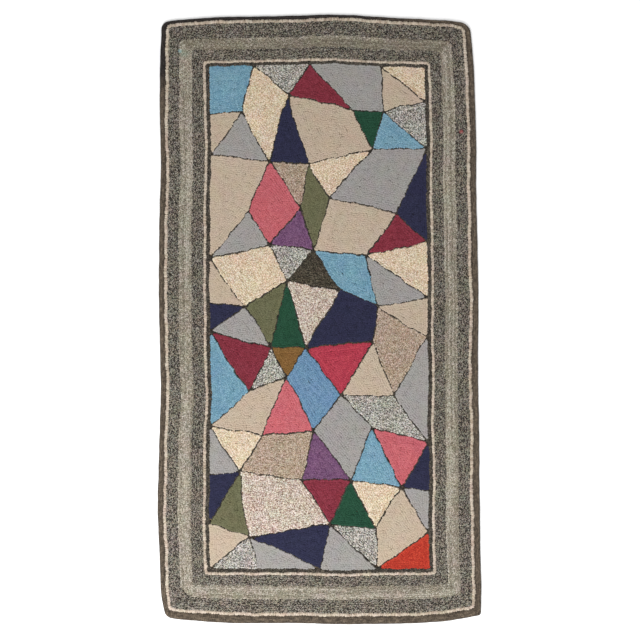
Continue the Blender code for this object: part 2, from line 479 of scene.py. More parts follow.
# %% The yarns
Yarn = namedtuple("Yarn", "name dark middle light soft flecks streaks patches")
YARNS = [
    Yarn("beige", "#b4a28d", "#bbaa96", "#c3b29e", 0.55, 0.3, 0.4, 11),
    Yarn("grey", "#93908c", "#9b9794", "#a3a09d", 0.55, 0.4, 0.4, 12),
    Yarn("cream", "#ae906f", "#d1bfa6", "#eadcc5", 0.38, 0.80, 0.2, 7),
    Yarn("salt_and_pepper", "#3d3a34", "#96938a", "#d4d0c6", 0.30, 0.85, 0.1, 7),
    Yarn("navy", "#222339", "#282943", "#30314b", 0.45, 0.3, 0.3, 7),
    Yarn("sky_blue", "#5d879d", "#7198ab", "#87acbd", 0.36, 0.5, 0.4, 5),
    Yarn("wine", "#702430", "#7f2c3a", "#8d3b49", 0.42, 0.4, 0.4, 4),
    Yarn("olive", "#5b5a3f", "#66654a", "#727155", 0.45, 0.4, 0.4, 3),
    Yarn("forest_green", "#163f2c", "#1d4632", "#27503c", 0.45, 0.3, 0.4, 3),
    Yarn("pink", "#b2565f", "#be6269", "#ca7279", 0.45, 0.4, 0.4, 3),
    Yarn("tan_tweed", "#775f4a", "#a5927f", "#c9b8a6", 0.37, 0.80, 0.2, 3),
    Yarn("pink_tweed", "#7e5c50", "#b9ac9c", "#e5dbcd", 0.33, 0.80, 0.2, 2),
    Yarn("purple", "#5b3859", "#6d4a6b", "#825f7d", 0.40, 0.5, 0.4, 2),
    Yarn("crimson", "#9a2f41", "#a93748", "#bb4857", 0.40, 0.4, 0.5, 1),
    Yarn("cornflower", "#557997", "#6789a7", "#7b9bb6", 0.38, 0.5, 0.5, 1),
    Yarn("mustard", "#6d4c25", "#7b5a2e", "#8b683d", 0.40, 0.4, 0.4, 1),
    Yarn("charcoal", "#1e1a15", "#3a3429", "#6a6253", 0.38, 0.75, 0.3, 1),
    Yarn("orange_red", "#9c2b1f", "#b03425", "#c54a33", 0.36, 0.5, 0.5, 1),
    Yarn("dark_tweed", "#151311", "#4f473f", "#9c9688", 0.31, 0.88, 0.1, 0),
    Yarn("pale_grey", "#5f5749", "#918979", "#c2bbad", 0.33, 0.65, 0.65, 0),
    Yarn("light_tan", "#988674", "#beaf9e", "#d8cbba", 0.46, 0.40, 0.2, 0),
    Yarn("frame_brown", "#1b1714", "#3b362f", "#6e665b", 0.38, 0.60, 0.3, 0),
    Yarn("outline_brown", "#1a1714", "#302b26", "#575046", 0.34, 0.5, 0.3, 0),
]
CORNER_YARNS = {"orange_red": (1, 0), "sky_blue": (0, 1), "cream": (1, 1), "beige": (0, 0)}
yarn_named = {yarn.name: yarn for yarn in YARNS}
print(len(YARNS), "yarns, for", sum(yarn.patches for yarn in YARNS), "patches and the border")

# %% [markdown]
# A maker works from a bag of leftover yarn and keeps like colours apart. The yarns are dealt out at
# random, and two patches then swap whenever that moves like colours further from each other.

# %% Deal the yarns to the patches
SWAPS = 1500
KEEP_APART = 0.13
TOUCHING = 3.0
DEAL_SEED = 42


def pin_corners(names, middles):
    """Give the patches in the field's corners their own yarns, and say which patches these are."""
    pinned = set()
    for name, corner in CORNER_YARNS.items():
        target = FIELD_LOW + np.array(corner) * (FIELD_HIGH - FIELD_LOW)
        patch = int(np.argmin(np.linalg.norm(middles - target, axis=1)))
        other = next(i for i in np.flatnonzero(names == name) if i not in pinned)
        names[[patch, other]] = names[[other, patch]]
        pinned.add(patch)
    return pinned


def deal_yarns(deal):
    """The name of the yarn of each patch."""
    middles = np.array([hubs[ring].mean(axis=0) for ring in patches])
    near = np.exp(-np.linalg.norm(middles[:, None] - middles[None], axis=2) / KEEP_APART)
    for a, ring in enumerate(patches):
        for b, other in enumerate(patches):
            near[a, b] += TOUCHING * (len(set(ring) & set(other)) >= 2)
    names = deal.permutation([yarn.name for yarn in YARNS for _ in range(yarn.patches)])
    pinned = pin_corners(names, middles)
    for _ in range(SWAPS):
        a, b = deal.integers(len(names), size=2)
        if names[a] == names[b] or a in pinned or b in pinned:
            continue
        others = ~np.isin(np.arange(len(names)), (a, b))
        like_a = others & (names == names[a])
        like_b = others & (names == names[b])
        now = near[a, like_a].sum() + near[b, like_b].sum()
        then = near[b, like_a].sum() + near[a, like_b].sum()
        if then < now:
            names[[a, b]] = names[[b, a]]
    return [str(name) for name in names]


patch_yarns = deal_yarns(np.random.default_rng(DEAL_SEED))
print("first patches:", ", ".join(patch_yarns[:6]))

# %% [markdown]
# ## Where the loops stand
#
# Every loop is first only a point with a few numbers: which way its row runs, how long it is along
# and across the row, how far it is sunk and how dark its strip of yarn is. The border's loops come
# from its rows. Where a row of the border cuts a rounded corner, its loops take the yarn of the
# band outside.

# %% Rows of the border
PRESSED = 1.76
ROW_OF_ITS_OWN = (1.55, 1.25)
ROW_AT_TAPE = (1.66, 1.42)
SINGLE_PITCH = 4.6 * MM
STRIP_LOOPS = 90
EDGE_DROP = 0.35 * MM
FOOT = 5.0 * MM
OUTER_FOOT = 3.4 * MM
Loops = namedtuple("Loops", "places turn along across foot drop strip")


def row_of_loops(places, turn, along, across, drop=0.0, shade=0.5, foot=FOOT):
    """Loops along one row. Their strip number changes where a new strip of yarn starts."""
    count = len(places)
    strips = rng.uniform(-0.5, 0.5, size=count // STRIP_LOOPS + 2)
    strip = shade + strips[(np.arange(count) + rng.integers(STRIP_LOOPS)) // STRIP_LOOPS]
    even = [value * np.ones(count) for value in (0.5 * along, 0.5 * across, foot, drop)]
    return Loops(places, turn, *even, strip)


def join_loops(rows):
    """Many rows of loops as one."""
    return Loops(*[np.concatenate(parts) for parts in zip(*rows)])


def chosen(loops, keep):
    """Some of the loops."""
    return Loops(*[part[keep] for part in loops])


def beside_end(places):
    """Whether places lie nearer to an end of the rug than to its long sides."""
    return LENGTH / 2 - np.abs(places[:, 1]) < WIDTH / 2 - np.abs(places[:, 0])


def band_rows(outer, band):
    """The rows of loops of one band, which starts at the inset outer."""
    widths = side_widths(band)
    single = band.rows == 1
    at_tape = outer is TAPE_SHOWS
    radii = BAND_CORNERS[band.name] if single else [ROW_CORNER] * 4
    spread = ROW_AT_TAPE if at_tape else ROW_OF_ITS_OWN if single else (PRESSED, PRESSED)
    pitch = SINGLE_PITCH if single else LOOP_PITCH
    across = spread[1] * np.mean(widths) / band.rows
    foot = OUTER_FOOT if at_tape else FOOT
    rows = []
    for i in range(band.rows):
        path = rounded_path(deeper(outer, widths, (i + 0.5) / band.rows), radii)
        places, turn = walk(path, pitch, rng.random())
        drop = EDGE_DROP if i in (0, band.rows - 1) and not single else 0.0
        at_far_end = beside_end(places) & (places[:, 1] > 0)
        shade = np.where(at_far_end, band.far_tone, 0.5)
        rows.append(row_of_loops(places, turn, spread[0] * pitch, across, drop, shade, foot))
    return join_loops(rows)


pile = {}
for i, band in enumerate(BANDS):
    loops = band_rows(insets[i], band)
    within = inside(loops.places, insets[i], BAND_CORNERS[band.name])
    pile.setdefault((band.name, band.yarn), []).append(chosen(loops, within))
    if i and not within.all():
        outer = BANDS[i - 1]
        pile[(outer.name, outer.yarn)].append(chosen(loops, ~within))
print(sum(len(loops.places) for rows in pile.values() for loops in rows), "loops in the border")

# %% [markdown]
# A patch is worked from its edges inwards, so its rows are its own outline drawn smaller and
# smaller. Moving every side of a convex polygon inwards and keeping what lies inside all of them
# gives each ring. The first ring starts at the seam, which is a little wider here and narrower
# there.

# %% The seams between the patches
SEAM_HALF = (1.5 * MM, 2.2 * MM)


def seams_of(ring):
    """The seams round a patch, each with the lower number of its two hubs first."""
    return [(min(a, b), max(a, b)) for a, b in zip(ring, ring[1:] + ring[:1])]


def on_field_edge(seam):
    """Whether a seam lies on the edge of the field, where the frame already runs."""
    ends = hubs[list(seam)]
    return any((np.abs(ends - edge) < MM).all(axis=0).any() for edge in (FIELD_LOW, FIELD_HIGH))


def measure_seams():
    """Half the width of the dark line on each seam."""
    seams = sorted({seam for ring in patches for seam in seams_of(ring)})
    return {seam: 0.0 if on_field_edge(seam) else rng.uniform(*SEAM_HALF) for seam in seams}


seam_half = measure_seams()
print(len(seam_half), "seams")


# %% A patch drawn smaller
def leftward(side):
    """The unit vector that points to the left of a side."""
    return np.array([-side[1], side[0]]) / np.linalg.norm(side)


def clipped(corners, start, inward, distance):
    """The part of a convex polygon that lies at least a distance inside one line."""
    depth = (corners - start) @ inward - distance
    kept = []
    for i in range(len(corners)):
        j = (i + 1) % len(corners)
        if depth[i] >= 0:
            kept.append(corners[i])
        if depth[i] * depth[j] < 0:
            share = depth[i] / (depth[i] - depth[j])
            kept.append(corners[i] + share * (corners[j] - corners[i]))
    return np.array(kept).reshape(-1, 2)


def drawn_smaller(corners, distances):
    """A convex polygon with each side moved inwards, or nothing where it vanishes."""
    smaller = corners
    for start, side, distance in zip(corners, sides_of(corners), distances):
        if len(smaller):
            smaller = clipped(smaller, start, leftward(side), distance)
    return smaller


smaller = drawn_smaller(hubs[patches[0]], [ROW_PITCH] * len(patches[0]))
print("the first patch, drawn one row smaller, has", len(smaller), "corners")

# %% [markdown]
# Where rings meet at a corner, loops that are too close are left out, and the bare spots that are
# left in the tips and in the middle are filled one by one. Some loops of the outermost row poke out
# over the seam. A single row of dark loops runs along every seam between two patches.

# %% Loops too close, and spots too bare
TOO_CLOSE = 2.7 * MM
TOO_BARE = 3.4 * MM
BARE_GRID = 1.5 * MM


def distances_between(places, others):
    """How far each place is from each of the others."""
    return np.linalg.norm(places[:, None] - others[None], axis=2)


def thinned(loops):
    """Loops without those that would stand too close to another."""
    apart = distances_between(loops.places, loops.places)
    keep = np.ones(len(loops.places), bool)
    for i in range(1, len(keep)):
        keep[i] = not (apart[i, :i][keep[:i]] < TOO_CLOSE).any()
    return chosen(loops, keep)


def bare_spots(corners, distances, taken):
    """Places inside a polygon that lie too far from every place taken, found one by one."""
    spans = zip(corners.min(axis=0), corners.max(axis=0))
    grid = np.meshgrid(*[np.arange(low, high, BARE_GRID) for low, high in spans])
    spots = np.stack([axis.ravel() for axis in grid], axis=1)
    for start, side, distance in zip(corners, sides_of(corners), distances):
        spots = spots[(spots - start) @ leftward(side) > distance]
    found = []
    bare = distances_between(spots, taken).min(axis=1)
    while len(spots) and bare.max() > TOO_BARE:
        found.append(spots[bare.argmax()])
        bare = np.minimum(bare, np.linalg.norm(spots - found[-1], axis=1))
    return np.array(found).reshape(-1, 2)


# %% Rows of the patches
PATCH_SHADE = 0.16
POKES = 0.4
SEAM_CLEAR = 1.7 * MM
FILLER_WIDTH = 0.85


def patch_loops(ring_of_hubs):
    """The loops of one patch, worked in rings from its edges inwards."""
    corners = hubs[ring_of_hubs]
    seams = np.array([seam_half[seam] for seam in seams_of(ring_of_hubs)])
    shade = 0.5 + rng.uniform(-PATCH_SHADE, PATCH_SHADE)
    along, across = PRESSED * LOOP_PITCH, PRESSED * ROW_PITCH
    rows = []
    depth = 0.5 * ROW_PITCH
    while len(ring := drawn_smaller(corners, seams + depth)) >= 3:
        places, turn = walk(ring, LOOP_PITCH, rng.random())
        pokes = 0.0 if rows else POKES * rng.random(len(places)) ** 2
        rows.append(row_of_loops(places, turn, along, across * (1 + pokes), shade=shade))
        depth += ROW_PITCH
    loops = thinned(join_loops(rows))
    spots = bare_spots(corners, seams + SEAM_CLEAR, loops.places)
    if not len(spots):
        return loops
    turn = loops.turn[distances_between(spots, loops.places).argmin(axis=1)]
    return join_loops([loops, row_of_loops(spots, turn, along, FILLER_WIDTH * across, shade=shade)])


for ring, yarn in zip(patches, patch_yarns):
    pile.setdefault(("patches_" + yarn, yarn), []).append(patch_loops(ring))
print(len(pile), "pieces of pile so far")

# %% Rows along the seams
SEAM_WIDTH = 3.0
SEAM_PITCH = 3.9 * MM
SEAM_LOOP = 1.5 * SEAM_PITCH
SEAM_SKIPS = 0.08
SEAM_SWAYS = 0.7 * MM
SEAM_DROP = 0.10 * MM


def seam_loops(a, b, half):
    """One row of dark loops along a seam. It sways a little, and skips a loop here and there."""
    along = hubs[b] - hubs[a]
    count = round(np.linalg.norm(along) / SEAM_PITCH)
    share = (np.arange(count) + 0.5) / count
    share = share[rng.random(count) > SEAM_SKIPS]
    sway = rng.uniform(-SEAM_SWAYS, SEAM_SWAYS, len(share))
    places = hubs[a] + along * share[:, None] + leftward(along) * sway[:, None]
    turn = np.full(len(share), angle_of(along))
    return row_of_loops(places, turn, SEAM_LOOP, SEAM_WIDTH * half, SEAM_DROP)


seam_rows = [seam_loops(*seam, half) for seam, half in seam_half.items() if half > 0]
pile[("patch_seams", "outline_brown")] = seam_rows
pile = {names: join_loops(rows) for names, rows in pile.items()}
print(sum(len(loops.places) for loops in pile.values()), "loops in", len(pile), "pieces")

# %% [markdown]
# ## Wool
#
# The loops are woollen-spun yarn. Wool is matt: its fibres stand out of the yarn and scatter the
# light, so it has nearly no gloss and a soft sheen at a low angle. Seen near, the yarn shows its
# twist and its fuzz; the grooves between its plies are painted darker and their crests a little
# lighter, as painted shade and light. Seen from a step away, it shows its tone, which changes from
# loop to loop, from one strip of yarn to the next and slowly over the rug where it has faded. A
# tweed's flecks run along the yarn and differ a little in hue too. The fibres and the twist are too
# fine to show from a step away, so both are drawn about twice as coarse as they are.
# The yarns' colours are those of the lit rug, and the studio light is bright, so the wool itself
# is a little darker than they are.
#
# One small helper adds a node with its settings and its links. The others start a cloth, shade it
# and finish it, because the wool, the hessian and the tape take the same steps.

# %% A helper for nodes
NODE_STEP = 190
NODES_IN_ROW = 8


def add_node(tree, kind, settings=None, links=None):
    """Add a node, set its properties and values, and connect its inputs.

    A link comes from a socket, or from a node, which then gives its first output.
    """
    node = tree.nodes.new(kind)
    row, column = divmod(len(tree.nodes), NODES_IN_ROW)
    node.location = (NODE_STEP * column, -NODE_STEP * row)
    for name, value in (settings or {}).items():
        if isinstance(name, str) and name in node.bl_rna.properties:
            setattr(node, name, value)
        else:
            node.inputs[name].default_value = value
    for name, source in (links or {}).items():
        socket = source.outputs[0] if isinstance(source, bpy.types.Node) else source
        tree.links.new(socket, node.inputs[name])
    return node


def set_ramp(ramp, stops):
    """Give a colour ramp its stops, each a position and a hex colour."""
    elements = ramp.color_ramp.elements
    while len(elements) < len(stops):
        elements.new(1.0)
    for element, (position, colour) in zip(elements, stops):
        element.position = position
        element.color = linear(colour)


# %% How each of the rug's cloths starts, and how it is finished
WHOLE_RANGE = (0.0, 1.0)
NOISE_RANGE = (0.3, 0.7)


def matt_cloth(name, roughness, sheen):
    """A new matt material, with its tree and the object's coordinates."""
    material = bpy.data.materials.new(name)
    material.use_nodes = True
    tree = material.node_tree
    values = {
        "Roughness": roughness,
        "Sheen Weight": sheen,
        "Sheen Roughness": 0.5,
        "Specular IOR Level": 0.2,
    }
    for socket, value in values.items():
        tree.nodes["Principled BSDF"].inputs[socket].default_value = value
    return material, tree, add_node(tree, "ShaderNodeTexCoord").outputs["Object"]


def from_to(old, new):
    """What a Map Range node is told, to stretch one range to another."""
    return {"From Min": old[0], "From Max": old[1], "To Min": new[0], "To Max": new[1]}


def shaded(tree, colour, patterns):
    """A colour made darker and lighter by patterns, each with its own range and its shades."""
    for pattern, own_range, shades in patterns:
        factor = add_node(tree, "ShaderNodeMapRange", from_to(own_range, shades), {"Value": pattern})
        links = {"Vector": colour, "Scale": factor}
        colour = add_node(tree, "ShaderNodeVectorMath", {"operation": "SCALE"}, links)
    return colour


def fibrous(tree, place, stretch):
    """Fine fibres, as noise on coordinates that are stretched along the strand."""
    settings = {"operation": "MULTIPLY", 1: stretch}
    along = add_node(tree, "ShaderNodeVectorMath", settings, {0: place})
    return add_node(tree, "ShaderNodeTexNoise", {"Scale": 1.0, "Detail": 3.0}, {"Vector": along})


def finish(tree, colour, reliefs):
    """Give a cloth its colour, and reliefs that lie on one another, each with depth and strength."""
    normal = {}
    for pattern, depth, strength in reliefs:
        settings = {"Distance": depth, "Strength": strength}
        normal = {"Normal": add_node(tree, "ShaderNodeBump", settings, {"Height": pattern, **normal})}
    for name, node in {"Base Color": colour, **normal}.items():
        tree.links.new(node.outputs[0], tree.nodes["Principled BSDF"].inputs[name])


# %% Stains on the rug, in metres from its middle
Stain = namedtuple("Stain", "x y core haze strength colour yarns")
STAINS = [
    Stain(-0.3720, 0.716, 2 * MM, 7 * MM, 0.90, "#a3c0c0", ("dark_tweed", "pale_grey")),
    Stain(-0.3610, 0.708, 2 * MM, 17 * MM, 0.50, "#75907f", ("dark_tweed", "pale_grey")),
    Stain(0.3780, 0.501, 2 * MM, 7 * MM, 0.90, "#ab4f50", ("dark_tweed",)),
    Stain(-0.4200, 0.702, 2 * MM, 7 * MM, 0.80, "#b5673c", ("light_tan",)),
    Stain(-0.2000, 0.120, 1 * MM, 6 * MM, 0.60, "#8a6a49", ("beige",)),
]
print(len(STAINS), "stains")

# %% The strand of yarn
ONCE = (1.0, 1.0, 1.0)
TWISTS = 0.75
FIBRES = (2.0, 13.0, 1.0)
FLECKS = (2.9, 5.6, 1.0)
FLECK_EDGE = 0.35
STRANDS_APART = 60.0


def spun(tree, tone):
    """The twist of the plies, the fibres and the tints of the long flecks of a strand.

    Each runs so many times along and across a loop, and differently on every loop.
    """
    strand = add_node(tree, "ShaderNodeUVMap", {"uv_map": "strand"})
    settings = {"operation": "SCALE", "Scale": STRANDS_APART}
    own = add_node(tree, "ShaderNodeVectorMath", settings, {"Vector": tone})
    flecks = {"voronoi_dimensions": "2D", "feature": "SMOOTH_F1", "Scale": 1.0, "Smoothness": FLECK_EDGE}
    patterns = [
        ("Wave", ONCE, {"bands_direction": "DIAGONAL", "Scale": TWISTS, "Distortion": 0.6}, "Fac"),
        ("Noise", FIBRES, {"Scale": 1.0, "Detail": 3.0}, "Fac"),
        ("Voronoi", FLECKS, flecks, "Color"),
    ]
    found = []
    for kind, repeats, settings, output in patterns:
        stretch = {"operation": "MULTIPLY_ADD", 1: repeats}
        place = add_node(tree, "ShaderNodeVectorMath", stretch, {0: strand, 2: own})
        found.append(add_node(tree, "ShaderNodeTex" + kind, settings, {"Vector": place}).outputs[output])
    return found


# %% Stained and faded yarn
BLOT = 4 * MM
FADING = 34 * MM
FADING_SHARE = 0.14
TWEED_FADING = 0.7
FLECK_TINT = np.array([0.36, 0.0, 0.36])
IN_THE_LIGHT = 0.885


def stained(tree, place, colour, stain):
    """A colour with one stain on it: strong in its middle, and gone at the edge of its haze."""
    settings = {"operation": "DISTANCE", 1: (stain.x, stain.y, PILE_TOP)}
    away = add_node(tree, "ShaderNodeVectorMath", settings, {0: place}).outputs["Value"]
    settings = from_to((stain.core, stain.haze), (stain.strength, 0.0))
    fade = add_node(tree, "ShaderNodeMapRange", settings, {"Value": away})
    blot = add_node(tree, "ShaderNodeTexNoise", {"Scale": 1 / BLOT, "Detail": 2.0}, {"Vector": place})
    uneven = add_node(tree, "ShaderNodeMapRange", from_to((0.35, 0.6), (0.4, 1.0)), {"Value": blot})
    share = add_node(tree, "ShaderNodeMath", {"operation": "MULTIPLY"}, {0: fade, 1: uneven})
    settings = {"Color2": linear(stain.colour)}
    return add_node(tree, "ShaderNodeMixRGB", settings, {"Fac": share, "Color1": colour})


def faded(tree, place, colour, tints, flecks):
    """A colour that has faded unevenly over the rug, and is tinted a little in its flecks."""
    waves = add_node(tree, "ShaderNodeTexNoise", {"Scale": 1 / FADING, "Detail": 3.0}, {"Vector": place})
    uneven = FADING_SHARE * (1 + TWEED_FADING * flecks**2) * np.ones(3)
    tint = FLECK_TINT * flecks**2
    rest = IN_THE_LIGHT * (1 - 0.5 * uneven - 0.5 * tint)
    settings = {"operation": "MULTIPLY_ADD", 1: IN_THE_LIGHT * uneven, 2: rest}
    fading = add_node(tree, "ShaderNodeVectorMath", settings, {0: waves.outputs["Color"]})
    settings = {"operation": "MULTIPLY_ADD", 1: IN_THE_LIGHT * tint}
    tinted = add_node(tree, "ShaderNodeVectorMath", settings, {0: tints, 2: fading})
    return add_node(tree, "ShaderNodeVectorMath", {"operation": "MULTIPLY"}, {0: colour, 1: tinted})


# %% The wool of one yarn
FRAY = (-0.25, 0.25)
# Painted shade in the grooves between the plies, and a little painted light on their crests
TWIST_SHADE = (0.90, 1.03)
TWIST_DEPTH = 0.34 * MM
FIBRE_SHADE = (0.92, 1.08)
FIBRE_DEPTH = 0.28 * MM
RELIEF = 0.7


def wool(yarn):
    """Woollen yarn in loops, dyed or spun as a tweed."""
    material, tree, place = matt_cloth("wool_" + yarn.name, 0.95, 0.06)
    tone = add_node(tree, "ShaderNodeAttribute", {"attribute_name": "tone"}).outputs["Fac"]
    twist, fibres, tints = spun(tree, tone)
    fleck = add_node(tree, "ShaderNodeSeparateColor", links={"Color": tints}).outputs["Green"]
    mixed = add_node(tree, "ShaderNodeMix", {"Factor": yarn.flecks}, {"A": tone, "B": fleck})
    fray = add_node(tree, "ShaderNodeMapRange", from_to(NOISE_RANGE, FRAY), {"Value": fibres})
    frayed = add_node(tree, "ShaderNodeMath", {"operation": "ADD"}, {0: mixed, 1: fray})
    colour = add_node(tree, "ShaderNodeValToRGB", links={"Fac": frayed})
    set_ramp(colour, [(0.5 - yarn.soft, yarn.dark), (0.5, yarn.middle), (0.5 + yarn.soft, yarn.light)])
    for stain in STAINS:
        if yarn.name in stain.yarns:
            colour = stained(tree, place, colour, stain)
    colour = faded(tree, place, colour, tints, yarn.flecks)
    # The twist's shades are painted shade in the grooves between the plies and painted light on their
    # crests.
    shades = [(twist, WHOLE_RANGE, TWIST_SHADE), (fibres, NOISE_RANGE, FIBRE_SHADE)]
    reliefs = [(twist, TWIST_DEPTH, RELIEF), (fibres, FIBRE_DEPTH, RELIEF)]
    finish(tree, shaded(tree, colour, shades), reliefs)
    return material


wools = {yarn.name: wool(yarn) for yarn in YARNS}
print(len(wools), "wools")

# %% [markdown]
# ## The loop and the tree that repeats it
#
# Seen from above, a loop is a small round bead of yarn, pressed between its neighbours. One mesh
# of sixteen triangles is enough for it: a square foot, hidden in the pile, a six-sided shoulder and
# a crown, with smooth shading. The loops against the tape are seen from the side too, so they have
# a rounder mesh of their own, with a belly. The flat map "strand" tells the wool how the yarn runs.
# Geometry Nodes set a loop on each point, turned and sized by the point's numbers and shaken a
# little, so that no two look alike.

# %% Two loops
LoopRing = namedtuple("LoopRing", "height half_along half_across sides turn")
PACKED_LOOP = [LoopRing(0.0, 1.34, 1.34, 4, 45.0), LoopRing(0.74, 0.70, 0.68, 6, 0.0)]
EDGE_LOOP = [
    LoopRing(0.0, 0.86, 0.86, 8, 22.5),
    LoopRing(0.42, 1.0, 1.0, 8, 0.0),
    LoopRing(0.82, 0.68, 0.68, 8, 22.5),
]


def object_of(mesh, name):
    """A new object with the faces of a bmesh, which is then freed."""
    data = bpy.data.meshes.new(name)
    mesh.to_mesh(data)
    mesh.free()
    return add_object(name, data)


def make_loop(name, rings):
    """A unit loop: a hull round its rings, with its foot at height 0 and its crown at height 1."""
    mesh = bmesh.new()
    mesh.verts.new((0.0, 0.0, 1.0))
    for ring in rings:
        for i in range(ring.sides):
            turn = math.radians(ring.turn + 360 * i / ring.sides)
            x, y = ring.half_along * math.cos(turn), ring.half_across * math.sin(turn)
            mesh.verts.new((x, y, ring.height))
    bmesh.ops.convex_hull(mesh, input=mesh.verts)
    mesh.normal_update()
    underside = [face for face in mesh.faces if face.normal.z < -0.5]
    bmesh.ops.delete(mesh, geom=underside, context="FACES")
    strand = mesh.loops.layers.uv.new("strand")
    for face in mesh.faces:
        for corner in face.loops:
            x, y, _ = corner.vert.co
            corner[strand].uv = (0.5 + 0.5 * x, 0.5 + 0.5 * y)
    return object_of(mesh, name)


packed_loop = make_loop("packed_loop", PACKED_LOOP)
edge_loop = make_loop("edge_loop", EDGE_LOOP)
print(len(packed_loop.data.polygons), "and", len(edge_loop.data.polygons), "faces in one loop")


# %% The tree that sets a loop on every point
PILE_INPUTS = {
    "Points": "Geometry",
    "Loop": "Object",
    "Turn Spread": "Vector",
    "Size Spread": "Vector",
    "Seed": "Int",
    "Wool": "Material",
}


def shaken(tree, name, operation, start, spread, seed):
    """A point's vector, with a change at random that starts from a value and spreads on each axis."""
    settings = {"data_type": "FLOAT_VECTOR", "Min": (-1.0, -1.0, -1.0)}
    draw = add_node(tree, "FunctionNodeRandomValue", settings, {"Seed": seed})
    settings = {"operation": "MULTIPLY_ADD", 2: start}
    change = add_node(tree, "ShaderNodeVectorMath", settings, {0: draw, 1: spread})
    settings = {"data_type": "FLOAT_VECTOR", "Name": name}
    own = add_node(tree, "GeometryNodeInputNamedAttribute", settings)
    return add_node(tree, "ShaderNodeVectorMath", {"operation": operation}, {0: own, 1: change})


def loop_tree():
    """Geometry Nodes that turn points into a pile of loops."""
    tree = bpy.data.node_groups.new("pile_of_loops", "GeometryNodeTree")
    for name, kind in PILE_INPUTS.items():
        tree.interface.new_socket(name, in_out="INPUT", socket_type="NodeSocket" + kind)
    tree.interface.new_socket("Pile", in_out="OUTPUT", socket_type="NodeSocketGeometry")
    given = add_node(tree, "NodeGroupInput").outputs
    shape = add_node(tree, "GeometryNodeObjectInfo", links={"Object": given["Loop"]})
    next_seed = add_node(tree, "ShaderNodeMath", {"operation": "ADD", 1: 1.0}, {0: given["Seed"]})
    links = {
        "Points": given["Points"],
        "Instance": shape.outputs["Geometry"],
        "Rotation": shaken(tree, "turn", "ADD", (0.0, 0.0, 0.0), given["Turn Spread"], given["Seed"]),
        "Scale": shaken(tree, "size", "MULTIPLY", (1.0, 1.0, 1.0), given["Size Spread"], next_seed),
    }
    loops = add_node(tree, "GeometryNodeInstanceOnPoints", links=links)
    real = add_node(tree, "GeometryNodeRealizeInstances", links={"Geometry": loops})
    smooth = add_node(tree, "GeometryNodeSetShadeSmooth", links={"Geometry": real})
    links = {"Geometry": smooth, "Material": given["Wool"]}
    dressed = add_node(tree, "GeometryNodeSetMaterial", links=links)
    add_node(tree, "NodeGroupOutput", links={"Pile": dressed})
    return tree


pile_tree = loop_tree()
print(len(pile_tree.nodes), "nodes in the tree")

# %% [markdown]
# The tree's result is made a plain mesh, because only real faces are exported. A flat map from
# above is added to each piece, so that its colours can be painted onto a picture without seams.
# The pile has settled unevenly, and one smooth function says by how much.

# %% Points that carry the numbers of their loops
PILE_UNEVEN = 0.5 * MM
SHAKE = 1.0 * MM
STEADY_SHAKE = 0.5 * MM
SINGLE_ROW_SPREADS = {
    "outer_light_row": (0.14, 0.13, 0.07),
    "inner_light_row": (0.20, 0.24, 0.09),
    "patch_seams": (0.24, 0.30, 0.10),
}


def settled(places):
    """How far the pile has settled at each place, from 0 to 1."""
    x, y = places.T
    long_wave = np.sin(9.0 * x + 1.0) * np.cos(6.5 * y - 0.4)
    short_wave = np.sin(23.0 * x - 17.0 * y) * np.cos(14.0 * x + 21.0 * y)
    return 0.5 + 0.3 * long_wave + 0.2 * short_wave


def points_object(name, loops, yarn, seed):
    """A mesh of bare points that carry the numbers of their loops."""
    draw = np.random.default_rng(seed)
    count = len(loops.places)
    places = laid(loops.places)
    turn = angle_of(laid(loops.places + MM * pointing(loops.turn)) - places)
    rise = PILE_TOP - PILE_UNEVEN * settled(places) - loops.drop - loops.foot
    shake = STEADY_SHAKE if name in SINGLE_ROW_SPREADS else SHAKE
    places = places + draw.uniform(-shake, shake, places.shape)
    tone = (1 - yarn.streaks) * draw.random(count) + yarn.streaks * loops.strip
    data = bpy.data.meshes.new(name + "_points")
    data.vertices.add(count)
    data.vertices.foreach_set("co", np.column_stack([places, loops.foot]).ravel())
    none = np.zeros(count)
    vectors = {"turn": (none, none, turn), "size": (loops.along, loops.across, rise)}
    for key, columns in vectors.items():
        column = data.attributes.new(key, "FLOAT_VECTOR", "POINT")
        column.data.foreach_set("vector", np.column_stack(columns).ravel())
    data.attributes.new("tone", "FLOAT", "POINT").data.foreach_set("value", tone)
    return add_object(name + "_points", data)


# %% Grow the pile
TURN_SPREAD = (math.radians(12), math.radians(12), math.radians(30))
SIZE_SPREAD = (0.17, 0.15, 0.07)


def set_inputs(modifier, values):
    """Set a Geometry Nodes modifier's inputs, found by name and set by identifier."""
    for socket in modifier.node_group.interface.items_tree:
        if socket.in_out == "INPUT" and socket.name in values:
            modifier[socket.identifier] = values[socket.name]


def map_from_above(data):
    """A flat map of a mesh as seen from above, for painting its colours onto a picture."""
    places = np.empty(len(data.vertices) * 3)
    data.vertices.foreach_get("co", places)
    flat = places.reshape(-1, 3)[:, :2]
    low, high = flat.min(axis=0), flat.max(axis=0)
    corner = np.empty(len(data.loops), np.int32)
    data.loops.foreach_get("vertex_index", corner)
    layer = data.uv_layers.new(name="OFBake")
    layer.uv.foreach_set("vector", ((flat - low) / (high - low))[corner].ravel())


def keep_as_cloth(piece, node):
    """Let a piece ride on the rug's root, and hide the solid that it stands for."""
    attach(piece, "root")
    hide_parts(node)


